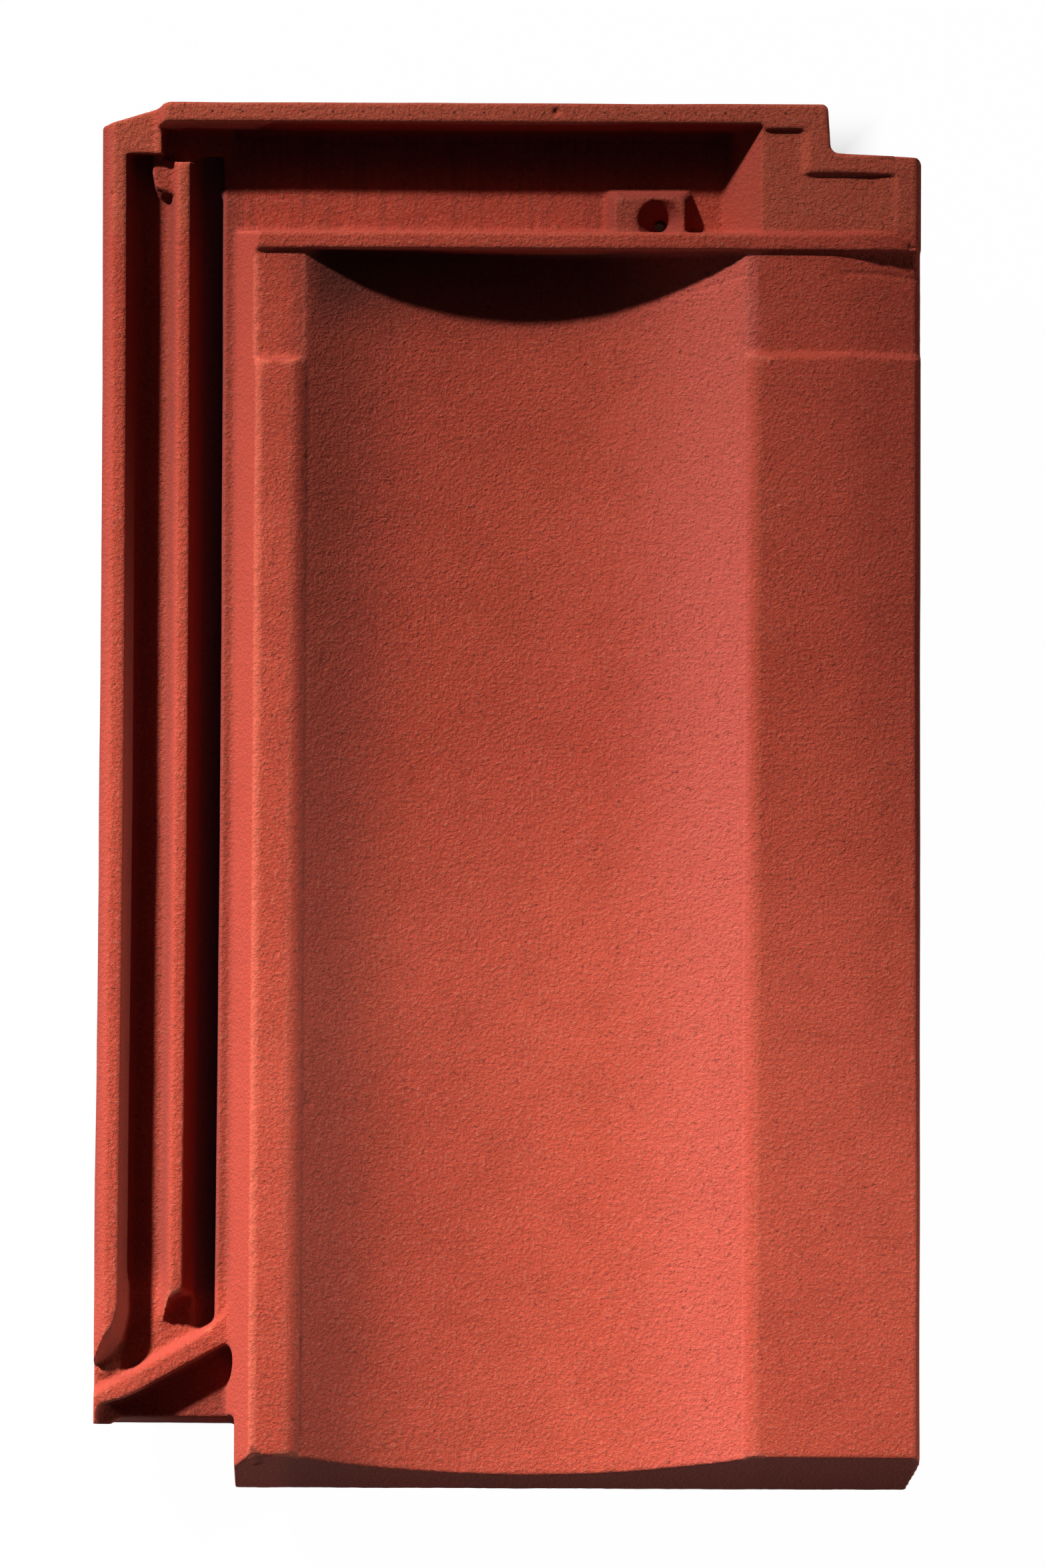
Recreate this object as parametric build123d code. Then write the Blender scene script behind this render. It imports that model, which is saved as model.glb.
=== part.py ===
from build123d import *
import os

# Interlocking clay roof tile, pressed from one blank of clay and fired as one piece.
# +Z points out of the weather side, +Y to the head, and the side lock is at -X.
# The origin is under the middle of the tile, on the level that it rests on.
# Lengths are millimetres. A name that ends in _H is a height above the flat shoulders.

# Driving sizes of the tile
TILE_WIDTH = 280.0
TILE_LENGTH = 472.0
COVER_WIDTH = 235.0
BODY_THICKNESS = 12.0
SHOULDER_Z = 41.0
TROUGH_DEPTH = 16.0

LEFT = -TILE_WIDTH / 2
RIGHT = TILE_WIDTH / 2
FOOT = -TILE_LENGTH / 2
HEAD = TILE_LENGTH / 2
UNDERSIDE_H = -BODY_THICKNESS
REST_H = -SHOULDER_Z
ABOVE_H = 6.0

# Side lock: outer rib, channel 1, middle rib, channel 2 and the ledge beside the body
LOCK_RIB_H = -9.0
CHANNEL_1_H = -17.5
CHANNEL_2_H = -19.5
LEDGE_H = -15.0
LOCK_BOTTOM_H = -29.0
OUTER_RIB = (LEFT + 3.7, LEFT + 8.2)
CHANNEL_1 = (LEFT + 12.5, LEFT + 22.5)
MIDDLE_RIB = (LEFT + 25.8, LEFT + 30.0)
CHANNEL_2 = (LEFT + 35.0, LEFT + 40.6)
LEDGE = (LEFT + 41.4, LEFT + 45.4)
BODY_LEFT_TOP = LEFT + 53.6
LOCK_FOOT = FOOT + 21.7
LOCK_FOOT_DRAFT = (2.5, 3.5)
MIDDLE_RIB_END = 216.5

# Trough between the left shoulder and the cover flange
TROUGH_LEFT = -74.0
TROUGH_RIGHT = 84.0
TROUGH_LOWEST_X = 6.0
TROUGH_EDGE_RADIUS = 5.0

# Cover flange, whose two ribs drop into the channels of the next tile on the right
FLANGE_THICKNESS = 8.4
FLANGE_START = 97.0
FLANGE_RIB_GAP = 1.6
FLANGE_RIB_SLOPE = 1.5
FLANGE_RIB_H = -15.5
FLANGE_LIP_H = -13.0

# Head lock: rim, channel and rib 2
HEAD_RIM_LENGTH = 7.0
HEAD_TOP_H = -0.5
HEAD_CHANNEL_H = -15.0
HEAD_PLATE_H = -26.0
HEAD_PLATE_FOOT = 180.0
HEAD_PLATE_X = (LEFT + 50.0, 92.0)
RIB_2 = (185.6, 191.7)
WALL_DRAFT = 1.6
HEAD_CHANNEL_LEFT = LEFT + 20.5
HEAD_CHANNEL_RIGHT = 72.5
HEAD_CHANNEL_RIGHT_TOP = 85.5
HEAD_RIM_END = (LEFT + 18.3, LEFT + 21.2)
CORNER_PLATE_EDGE = LEFT + 17.4
CORNER_CREST = 0.9
CORNER_CREST_H = -8.4
CORNER_PLATE_FOOT = 219.0
HEAD_CORNER_CUT = (23.3, 7.2)
HEAD_NOTCH_SIDE = (108.0, 109.0)
HEAD_NOTCH_FOOT = (219.3, 218.0)
HEAD_NOTCH_RADII = (2.0, 3.0, 2.5)
LOCK_STEP_H = -12.0
LOCK_STEP = (
    (-123.0, 217.4),
    (-123.0, 213.5),
    (-121.8, 208.5),
    (-119.8, 206.6),
    (-114.9, 206.0),
    (-114.9, 217.4),
)
LOCK_STEP_TOE = (
    (-123.6, 217.4),
    (-123.6, 212.5),
    (-122.3, 206.8),
    (-120.2, 203.6),
    (-114.9, 202.0),
    (-114.9, 217.4),
)

# Rest pads below rib 2, where the foot of the tile above sits
PAD_H = -2.0
PAD_FOOT = (147.0, 149.0)
PAD_STEP = 2.0

# Low pad on the cover flange beside the head channel, with raised borders on three sides
UPPER_PAD_RIGHT = (131.3, 132.2)
UPPER_PAD_HEAD = 212.2
UPPER_PAD_NECK = (98.7, 101.9)

# The flange falls away to the right, most under rib 2. Each row is the y, the x of the line where
# the fall starts, the fall at the right edge and the width of the worn edge there.
FALL_ABOVE_RIB_2 = ((RIB_2[0], 119.0, 2.2, 1.8), (HEAD, 126.0, 0.8, 1.8))
FALL_BELOW_PAD = (
    (PAD_FOOT[1], 116.0, 4.0, 2.0),
    (45.0, 121.0, 3.2, 2.0),
    (0.0, 122.5, 2.3, 1.9),
    (-92.0, 124.0, 1.0, 1.6),
    (-175.0, 127.0, 0.1, 1.3),
)
FALL_OF_PAD = (115.0, 4.2, 2.0)

# Nail boss in the head channel
BOSS_X = (35.6, 59.4)
BOSS_HEAD = 204.9
BOSS_H = -10.0
BOSS_DRAFT = 3.4
BOSS_CORNER_RADIUS = 2.5
NAIL_HOLE = (51.0, 196.0)
NAIL_RADIUS = 2.0
NAIL_MOUTH = (50.8, 197.0)
NAIL_MOUTH_RADIUS = 7.9
NAIL_MOUTH_DEPTH = 5.5

# Foot wall, and the cross rib that drops into the head channel of the tile below
FOOT_WALL_H = -29.0
FOOT_SLOPE = 11.5
FOOT_WALL_THICKNESS = 11.0
FOOT_LEFT = LEFT + 48.0
FOOT_RIGHT_DRAFT = 3.9
CROSS_RIB_Y = -185.5
CROSS_RIB_TIP = 3.0
CROSS_RIB_ROOT = 6.0
CROSS_RIB_X = (-80.0, 92.0)

# Nibs that hang the tile on its batten
NIB_X = (-62.0, 62.0)
NIB_FACE_Y = 208.0
NIB_LENGTH = 16.0
NIB_WIDTH = 30.0
NIB_TAPER = 3.5

# Diagonal ridge that closes the side lock at its foot end, and the recess beyond it
RIDGE_START = (LEFT, -201.6)
RIDGE_END = (LEFT + 46.4, -175.4)
RIDGE_H = -14.0
RIDGE_RAMP = 2.8
RIDGE_TOP = 11.0
RIDGE_SWEEP = (
    (-107.0, -186.0),
    (-103.5, -183.9),
    (-99.5, -181.0),
    (-95.4, -177.2),
    (-93.8, -173.0),
)
RIDGE_SWEEP_TOE = (
    (-108.0, -183.3),
    (-104.5, -181.2),
    (-100.2, -177.2),
    (-97.3, -173.2),
    (-95.4, -168.5),
)
OUTER_RIB_END = (
    (LEFT, -191.2),
    (LEFT + 1.5, -187.0),
    (LEFT + 3.3, -184.4),
    (LEFT + 5.8, -182.3),
    (LEFT + 7.0, -179.0),
    (LEFT + 8.2, -174.0),
)
OUTER_RIB_END_TOE = (
    (LEFT + 0.5, -194.4),
    (LEFT + 3.4, -191.8),
    (LEFT + 6.6, -189.2),
    (LEFT + 9.6, -186.4),
    (LEFT + 11.4, -181.8),
    (LEFT + 12.6, -175.6),
)
MIDDLE_RIB_END_FOOT = (
    (LEFT + 22.4, -179.6),
    (LEFT + 23.7, -175.0),
    (LEFT + 24.8, -171.4),
    (LEFT + 28.0, -169.4),
    (LEFT + 40.8, -168.4),
)
MIDDLE_RIB_END_FOOT_TOE = (
    (LEFT + 22.9, -180.4),
    (LEFT + 24.9, -176.4),
    (LEFT + 27.2, -173.2),
    (LEFT + 31.0, -171.6),
    (LEFT + 40.8, -170.4),
)
RECESS_H = -20.5
RECESS_EDGE = (
    (LEFT + 1.3, -209.8),
    (LEFT + 2.4, -207.9),
    (LEFT + 5.0, -206.9),
    (LEFT + 10.0, -205.6),
    (LEFT + 15.0, -203.3),
    (LEFT + 44.6, -187.0),
    (LEFT + 46.2, -187.6),
    (LEFT + 47.2, -190.2),
    (LEFT + 47.4, -193.6),
    (LEFT + 46.8, -197.4),
    (LEFT + 45.2, -202.6),
)


def z(height):
    """Height above the rest level of a height given from the shoulders."""
    return SHOULDER_Z + height


def rounded(corners):
    """A closed outline from corners of position, height and radius."""
    points = [(position, z(height)) for position, height, radius in corners]
    return make_face(FilletPolyline(*points, radius=[radius for _, _, radius in corners], close=True))


def tapered(corners, toe_corners, low, high):
    """Run from one plan outline at a low level to another with as many corners at a high one."""
    levels = ((low, toe_corners), (high, corners))
    sections = []
    for level, outline in levels:
        sections.append(Plane.XY.offset(z(level)) * make_face(Polyline(outline, close=True)))
    return loft(sections, ruled=True)


def along_tile(outline, y_foot, y_head):
    """Run an outline of x and height from y_foot to y_head."""
    return extrude(Plane.XZ.offset(-y_head) * outline, amount=y_head - y_foot)


def across_tile(outline, x_left, x_right):
    """Run an outline of y and height from x_left to x_right."""
    return extrude(Plane.YZ.offset(x_left) * outline, amount=x_right - x_left)


def sharp(corners):
    """A closed outline from corners of position and height."""
    return make_face(Polyline([(position, z(height)) for position, height in corners], close=True))


def upright(corners, low, high):
    """Raise a plan outline from one height to another."""
    return extrude(Plane.XY.offset(z(low)) * make_face(Polyline(corners, close=True)), amount=high - low)


def block(x_range, y_range, low, high):
    """A square-edged block between two x, two y and two heights."""
    (x_0, x_1), (y_0, y_1) = x_range, y_range
    return upright([(x_0, y_0), (x_1, y_0), (x_1, y_1), (x_0, y_1)], low, high)


def long_edges(solid, x, height):
    """The edges that run the length of a solid at one x and height."""
    return [
        edge for edge in solid.edges().filter_by(Axis.Y)
        if abs((edge @ 0.5).X - x) < 0.1 and abs((edge @ 0.5).Z - z(height)) < 0.1
    ]


def trough_line(top, depth):
    """The curve across the trough: steep at both edges, then a long flat bowl."""
    shares = [(-58.0, 0.40), (-33.0, 0.78), (TROUGH_LOWEST_X, 1.0), (40.0, 0.82), (66.0, 0.43)]
    points = [(TROUGH_LEFT, z(top))]
    points += [(x, z(top - depth * share)) for x, share in shares]
    points += [(TROUGH_RIGHT, z(top))]
    return Spline(points, tangents=[(1, -0.50), (1, 0.52)])


def flange_underside():
    """Corners under the cover flange, with the two ribs that enter the next tile's channels."""
    inner = (CHANNEL_1[0] + COVER_WIDTH + FLANGE_RIB_GAP, CHANNEL_1[1] + COVER_WIDTH - FLANGE_RIB_GAP)
    outer = (CHANNEL_2[0] + COVER_WIDTH + FLANGE_RIB_GAP / 2, CHANNEL_2[1] + COVER_WIDTH - FLANGE_RIB_GAP / 4)
    corners = [(FLANGE_START - 4.0, UNDERSIDE_H, 2.0), (FLANGE_START, -FLANGE_THICKNESS, 2.0)]
    for low, high in (inner, outer):
        corners += [
            (low - FLANGE_RIB_SLOPE, -FLANGE_THICKNESS, 1.0),
            (low, FLANGE_RIB_H, 1.0),
            (high, FLANGE_RIB_H, 1.0),
        ]
        if high < outer[0]:
            corners += [(high + FLANGE_RIB_SLOPE, -FLANGE_THICKNESS, 1.0)]
    corners += [(high + FLANGE_RIB_SLOPE / 2, FLANGE_LIP_H, 0.4), (RIGHT - 0.6, FLANGE_LIP_H, 1.0)]
    return corners


def body_mass():
    """Left shoulder, trough floor, right shoulder and cover flange, with the trough still filled."""
    curve = trough_line(UNDERSIDE_H, TROUGH_DEPTH)
    edge = [
        (TROUGH_RIGHT, UNDERSIDE_H, 0.0),
        *flange_underside(),
        (RIGHT, -8.0, 0.0),
        (RIGHT, 0.0, 2.6),
        (BODY_LEFT_TOP, 0.0, 2.5),
        (LEDGE[1], LEDGE_H, 0.0),
        (LEDGE[1], LOCK_BOTTOM_H, 0.0),
        (LEDGE[1] + 4.0, LOCK_BOTTOM_H, 1.5),
        (BODY_LEFT_TOP + 4.0, UNDERSIDE_H, 2.0),
        (TROUGH_LEFT, UNDERSIDE_H, 0.0),
    ]
    points = [(x, z(height)) for x, height, radius in edge]
    rim = FilletPolyline(*points, radius=[radius for _, _, radius in edge[1:-1]])
    return along_tile(make_face([curve, rim]), FOOT, HEAD)


def side_lock():
    """The lock strip between its foot end and the corner plate."""
    outline = rounded([
        (LEFT, LOCK_BOTTOM_H + 2.0, 0.0),
        (LEFT, LOCK_RIB_H - 4.0, 1.5),
        (OUTER_RIB[0], LOCK_RIB_H, 1.2),
        (OUTER_RIB[1], LOCK_RIB_H, 1.2),
        (CHANNEL_1[0], CHANNEL_1_H, 1.5),
        (CHANNEL_1[1], CHANNEL_1_H, 1.5),
        (MIDDLE_RIB[0], LOCK_RIB_H, 1.2),
        (MIDDLE_RIB[1], LOCK_RIB_H, 1.2),
        (CHANNEL_2[0], CHANNEL_2_H, 1.5),
        (CHANNEL_2[1], CHANNEL_2_H, 0.8),
        (LEDGE[0], LEDGE_H, 0.8),
        (LEDGE[1] + 0.5, LEDGE_H, 0.0),
        (LEDGE[1] + 0.5, LOCK_BOTTOM_H, 0.0),
        (LEFT + 2.0, LOCK_BOTTOM_H, 0.0),
    ])
    strip = along_tile(outline, LOCK_FOOT, CORNER_PLATE_FOOT)
    rib_end = block((CHANNEL_1[1], CHANNEL_2[0]), (MIDDLE_RIB_END, HEAD), HEAD_CHANNEL_H, ABOVE_H)
    step = tapered(LOCK_STEP, LOCK_STEP_TOE, CHANNEL_1_H - 1.0, LOCK_STEP_H)
    return strip - rib_end + step


def head_corner():
    """Low corner plate beyond the side lock, its crest, and the left end of the head rim."""
    plate = along_tile(rounded([
        (LEFT, LOCK_BOTTOM_H + 2.0, 0.0),
        (LEFT, LOCK_RIB_H - 4.0, 1.5),
        (OUTER_RIB[0], LOCK_RIB_H, 1.2),
        (CORNER_PLATE_EDGE, LOCK_RIB_H, 1.0),
        (HEAD_CHANNEL_LEFT - CORNER_CREST, CORNER_CREST_H, 0.3),
        (HEAD_CHANNEL_LEFT, CORNER_CREST_H, 0.3),
        (HEAD_CHANNEL_LEFT + WALL_DRAFT, HEAD_CHANNEL_H, 1.5),
        (BODY_LEFT_TOP, HEAD_CHANNEL_H, 0.0),
        (BODY_LEFT_TOP, LOCK_BOTTOM_H + 3.0, 0.0),
        (LEDGE[1] + 4.0, LOCK_BOTTOM_H, 0.0),
        (LEFT + 2.0, LOCK_BOTTOM_H, 0.0),
    ]), CORNER_PLATE_FOOT, HEAD)
    rim_edge = HEAD - HEAD_RIM_LENGTH
    rim = across_tile(sharp([
        (HEAD, LOCK_BOTTOM_H + 3.0),
        (HEAD, HEAD_TOP_H),
        (rim_edge, HEAD_TOP_H),
        (rim_edge - WALL_DRAFT, HEAD_CHANNEL_H),
        (rim_edge - WALL_DRAFT, LOCK_BOTTOM_H + 3.0),
    ]), HEAD_RIM_END[0], BODY_LEFT_TOP)
    rim_room = along_tile(sharp([
        (HEAD_RIM_END[0], LOCK_BOTTOM_H),
        (HEAD_RIM_END[0], LOCK_RIB_H - 1.0),
        (HEAD_RIM_END[1], HEAD_TOP_H),
        (BODY_LEFT_TOP, HEAD_TOP_H),
        (BODY_LEFT_TOP, LOCK_BOTTOM_H),
    ]), RIB_2[1], HEAD)
    return plate + (rim & rim_room)


def head_plate():
    """The thick plate under the head channel, from the body's left side to the cover flange."""
    return block(HEAD_PLATE_X, (HEAD_PLATE_FOOT, HEAD), HEAD_PLATE_H, UNDERSIDE_H + 1.0)


def trough_hollow():
    """What the press takes out of the weather side, from the foot up to rib 2."""
    lid = Polyline([
        (TROUGH_RIGHT, z(0.0)),
        (TROUGH_RIGHT, z(ABOVE_H)),
        (TROUGH_LEFT, z(ABOVE_H)),
        (TROUGH_LEFT, z(0.0)),
    ])
    return along_tile(make_face([trough_line(0.0, TROUGH_DEPTH), lid]), FOOT - 5.0, RIB_2[0])


def above_fall(rows):
    """All above a surface that falls to the right edge, with a section at each row's y."""
    beyond = RIGHT + 5.0
    sections = []
    for y, height, x_line, fall, worn in rows:
        outline = sharp([
            (x_line, height),
            (RIGHT - worn, height - fall),
            (RIGHT, height - fall - worn),
            (beyond, height - fall - worn),
            (beyond, ABOVE_H),
            (x_line, ABOVE_H),
        ])
        sections.append(Plane.XZ.offset(-y) * outline)
    return loft(sections, ruled=True)


def flange_falls():
    """The falls of the flange above rib 2, of its rest pad, and below the pad."""
    x_line, fall, worn = FALL_OF_PAD
    pad_foot = PAD_FOOT[1]
    above = [(y, HEAD_TOP_H, *row) for y, *row in FALL_ABOVE_RIB_2]
    below = [(y, 0.0, *row) for y, *row in FALL_BELOW_PAD]
    pad = [below[0], (pad_foot + PAD_STEP, PAD_H, x_line, fall, worn), (RIB_2[0], PAD_H, x_line, fall, worn)]
    return [above_fall(above), above_fall(pad), above_fall(below)]


def rest_pads():
    """The hollows of the two rest pads below rib 2, each with a sloped step at its foot end."""
    pads = []
    x_ranges = ((BODY_LEFT_TOP - 2.0, TROUGH_LOWEST_X), (TROUGH_LOWEST_X, RIGHT + 2.0))
    for pad_foot, x_range in zip(PAD_FOOT, x_ranges):
        pads.append(across_tile(sharp([
            (RIB_2[0], PAD_H),
            (RIB_2[0], ABOVE_H),
            (pad_foot, ABOVE_H),
            (pad_foot, 0.0),
            (pad_foot + PAD_STEP, PAD_H),
        ]), *x_range))
    return pads[0] + pads[1]


def upper_pad():
    """The hollow of the low pad on the flange, with a slope up to the raised border beside the rim."""
    rim_edge = HEAD - HEAD_RIM_LENGTH - WALL_DRAFT
    left = HEAD_CHANNEL_RIGHT_TOP - 1.0
    neck = along_tile(sharp([
        (left, PAD_H),
        (UPPER_PAD_NECK[0], PAD_H),
        (UPPER_PAD_NECK[1], HEAD_TOP_H),
        (UPPER_PAD_NECK[1], ABOVE_H),
        (left, ABOVE_H),
    ]), RIB_2[1], rim_edge)
    pad = along_tile(sharp([
        (left, PAD_H),
        (UPPER_PAD_RIGHT[0], PAD_H),
        (UPPER_PAD_RIGHT[1], HEAD_TOP_H),
        (UPPER_PAD_RIGHT[1], ABOVE_H),
        (left, ABOVE_H),
    ]), RIB_2[1], UPPER_PAD_HEAD)
    return neck + pad


def head_channel():
    """The hollow between the head rim and rib 2, with a slope at its right end."""
    rim_edge = HEAD - HEAD_RIM_LENGTH
    hollow = across_tile(rounded([
        (RIB_2[1], ABOVE_H, 0.0),
        (RIB_2[1], HEAD_TOP_H, 0.0),
        (RIB_2[1] + WALL_DRAFT, HEAD_CHANNEL_H, 1.5),
        (rim_edge - WALL_DRAFT, HEAD_CHANNEL_H, 1.5),
        (rim_edge, HEAD_TOP_H, 0.0),
        (rim_edge, ABOVE_H, 0.0),
    ]), LEDGE[0] - 0.5, HEAD_CHANNEL_RIGHT_TOP + 2.0)
    run = HEAD_CHANNEL_RIGHT_TOP - HEAD_CHANNEL_RIGHT
    rise = PAD_H - HEAD_CHANNEL_H
    slope = along_tile(sharp([
        (HEAD_CHANNEL_RIGHT, HEAD_CHANNEL_H - 2.0),
        (HEAD_CHANNEL_RIGHT, HEAD_CHANNEL_H),
        (HEAD_CHANNEL_RIGHT_TOP + run, PAD_H + rise),
        (HEAD_CHANNEL_RIGHT_TOP + run, HEAD_CHANNEL_H - 2.0),
    ]), RIB_2[0], HEAD)
    return hollow - slope


def nail_boss():
    """Raised boss against rib 2, tapered on its three free sides."""
    base = HEAD_CHANNEL_H - 1.0
    share = (BOSS_H - base) / (BOSS_H - HEAD_CHANNEL_H)
    spread = BOSS_DRAFT * share
    across = along_tile(sharp([
        (BOSS_X[0] - spread, base),
        (BOSS_X[0], BOSS_H),
        (BOSS_X[1], BOSS_H),
        (BOSS_X[1] + spread * 0.8, base),
    ]), RIB_2[0], HEAD)
    lengthwise = across_tile(sharp([
        (RIB_2[1] - 1.0, base),
        (RIB_2[1] - 1.0, BOSS_H),
        (BOSS_HEAD, BOSS_H),
        (BOSS_HEAD + spread, base),
    ]), BOSS_X[0] - 10.0, BOSS_X[1] + 10.0)
    boss = across & lengthwise
    leaning = boss.edges().filter_by(lambda edge: abs((edge @ 0).Z - (edge @ 1).Z) > 1.0)
    return fillet(leaning.filter_by(lambda edge: (edge @ 0.5).Y > BOSS_HEAD), BOSS_CORNER_RADIUS)


def nail_hole():
    """Straight hole for the nail, with a leaning conical mouth that rib 2 cuts short."""
    mouth_top = Pos(*NAIL_MOUTH, z(BOSS_H)) * Circle(NAIL_MOUTH_RADIUS)
    mouth_end = Pos(*NAIL_HOLE, z(BOSS_H) - NAIL_MOUTH_DEPTH) * Circle(NAIL_RADIUS)
    mouth = loft([mouth_end, mouth_top], ruled=True)
    room = block((BOSS_X[0], BOSS_X[1]), (RIB_2[1] + 0.4, BOSS_HEAD), REST_H, 0.0)
    hole = Pos(*NAIL_HOLE, z(HEAD_CHANNEL_H)) * Cylinder(NAIL_RADIUS, 40.0)
    return (mouth & room) + hole


def nib(x_middle):
    """One hanging nib: upright towards the foot, where it bears on the batten, and tapered elsewhere."""
    root = HEAD_PLATE_H + 1.0
    half = NIB_WIDTH / 2
    front = along_tile(sharp([
        (x_middle - half, root),
        (x_middle - half + NIB_TAPER, REST_H),
        (x_middle + half - NIB_TAPER, REST_H),
        (x_middle + half, root),
    ]), NIB_FACE_Y, HEAD)
    side = across_tile(sharp([
        (NIB_FACE_Y, root),
        (NIB_FACE_Y, REST_H),
        (NIB_FACE_Y + NIB_LENGTH - NIB_TAPER, REST_H),
        (NIB_FACE_Y + NIB_LENGTH, root),
    ]), x_middle - half, x_middle + half)
    return front & side


def foot_wall():
    """The wall under the foot edge, over the full width of body and flange."""
    lengthwise = across_tile(sharp([
        (FOOT + FOOT_SLOPE + 14.0, -1.0),
        (FOOT - 1.0, -1.0),
        (FOOT - 1.0, FOOT_WALL_H),
        (FOOT + FOOT_WALL_THICKNESS, FOOT_WALL_H),
        (FOOT + FOOT_SLOPE + 12.0, UNDERSIDE_H + 1.0),
    ]), LEFT, RIGHT)
    across = along_tile(sharp([
        (FOOT_LEFT, FOOT_WALL_H),
        (FOOT_LEFT, UNDERSIDE_H + 1.0),
        (BODY_LEFT_TOP + 0.5, -1.0),
        (RIGHT - 2.0, -1.0),
        (RIGHT - 2.0, -5.0),
        (RIGHT, -8.0),
        (RIGHT, FOOT_WALL_H),
    ]), FOOT - 5.0, CROSS_RIB_Y)
    return lengthwise & across


def cross_rib():
    """The rib behind the foot wall."""
    return across_tile(sharp([
        (CROSS_RIB_Y - CROSS_RIB_ROOT, UNDERSIDE_H + 1.0),
        (CROSS_RIB_Y - CROSS_RIB_TIP, REST_H),
        (CROSS_RIB_Y + CROSS_RIB_TIP, REST_H),
        (CROSS_RIB_Y + CROSS_RIB_ROOT, UNDERSIDE_H + 1.0),
    ]), *CROSS_RIB_X)


def foot_front():
    """What lies in front of the sloping foot face."""
    ahead = 20.0
    top_run = FOOT_SLOPE * (1 - ABOVE_H / FOOT_WALL_H)
    return across_tile(sharp([
        (FOOT + top_run, ABOVE_H),
        (FOOT, FOOT_WALL_H),
        (FOOT, FOOT_WALL_H - ahead),
        (FOOT - ahead, FOOT_WALL_H - ahead),
        (FOOT - ahead, ABOVE_H),
    ]), LEFT - 5.0, RIGHT + 5.0)


def foot_sides():
    """The step at the left of the foot, the lock's sloped foot end and the foot wall's right side."""
    beyond = 5.0
    step = block((LEFT - beyond, FOOT_LEFT), (FOOT - beyond, LOCK_FOOT), REST_H - 1.0, ABOVE_H)
    lock_end = across_tile(sharp([
        (LOCK_FOOT, LOCK_BOTTOM_H - 1.0),
        (LOCK_FOOT + LOCK_FOOT_DRAFT[0], RECESS_H),
        (LOCK_FOOT + LOCK_FOOT_DRAFT[1], LOCK_RIB_H),
        (LOCK_FOOT - beyond, LOCK_RIB_H),
        (LOCK_FOOT - beyond, LOCK_BOTTOM_H - 1.0),
    ]), LEFT - beyond, FOOT_LEFT)
    right = along_tile(sharp([
        (RIGHT, -8.0),
        (RIGHT - FOOT_RIGHT_DRAFT, FOOT_WALL_H - 1.0),
        (RIGHT + beyond, FOOT_WALL_H - 1.0),
        (RIGHT + beyond, -8.0),
    ]), FOOT - beyond, LOCK_FOOT + 5.0)
    return [step, lock_end, right]


def head_outline():
    """The notch at the head's right corner, with rounded corners, and the cut across the left one."""
    beyond = 5.0
    start = (HEAD_NOTCH_SIDE[0] - 10.0, HEAD)
    end = (RIGHT, HEAD_NOTCH_FOOT[1] - 10.0)
    edge = FilletPolyline(
        start,
        (HEAD_NOTCH_SIDE[0], HEAD),
        (HEAD_NOTCH_SIDE[1], HEAD_NOTCH_FOOT[0]),
        (RIGHT, HEAD_NOTCH_FOOT[1]),
        end,
        radius=list(HEAD_NOTCH_RADII),
    )
    outside = Polyline([
        end,
        (RIGHT + beyond, end[1]),
        (RIGHT + beyond, HEAD + beyond),
        (start[0], HEAD + beyond),
        start,
    ])
    notch = extrude(Plane.XY * make_face([edge, outside]), amount=z(ABOVE_H))
    fall = HEAD_CORNER_CUT[1] / HEAD_CORNER_CUT[0]
    corner = upright([
        (LEFT - beyond, HEAD - HEAD_CORNER_CUT[1] - beyond * fall),
        (LEFT + HEAD_CORNER_CUT[0] + beyond, HEAD + beyond * fall),
        (LEFT - beyond, HEAD + beyond * fall),
    ], REST_H, ABOVE_H)
    return [notch, corner]


def ridge_plane():
    """Plane across the diagonal ridge: x runs across it towards the foot, and y is up."""
    run = (Vector(*RIDGE_END) - Vector(*RIDGE_START)).normalized()
    return Plane(origin=(*RIDGE_END, 0.0), x_dir=(run.Y, -run.X, 0.0), z_dir=(-run.X, -run.Y, 0.0))


def beside_ridge(offset, x):
    """The point at one x on the ridge's line, moved towards the foot by an offset."""
    across = ridge_plane().x_dir
    start = Vector(*RIDGE_START) + Vector(across.X, across.Y) * offset
    return (x, start.Y + (start.X - x) * across.X / across.Y)


def lock_outlet():
    """The hollows at the foot of the lock: the outlet of its channels, and the room of the ridge."""
    outside = LEFT - 3.0
    ridge_side = [beside_ridge(RIDGE_RAMP + 1.0, x) for x in (MIDDLE_RIB_END_FOOT[-1][0], outside)]
    top = [(outside, OUTER_RIB_END[0][1]), *OUTER_RIB_END, *MIDDLE_RIB_END_FOOT, *ridge_side]
    toe = [(outside, OUTER_RIB_END_TOE[0][1]), *OUTER_RIB_END_TOE, *MIDDLE_RIB_END_FOOT_TOE, *ridge_side]
    outlet = tapered(top, toe, CHANNEL_1_H, LOCK_RIB_H) + upright(top, LOCK_RIB_H, ABOVE_H)
    room = upright([
        beside_ridge(RIDGE_RAMP, outside),
        beside_ridge(RIDGE_RAMP, RECESS_EDGE[-1][0]),
        *RECESS_EDGE[-4:],
        (RECESS_EDGE[-1][0], FOOT),
        (outside, FOOT),
    ], RECESS_H, ABOVE_H)
    return outlet + room


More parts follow.
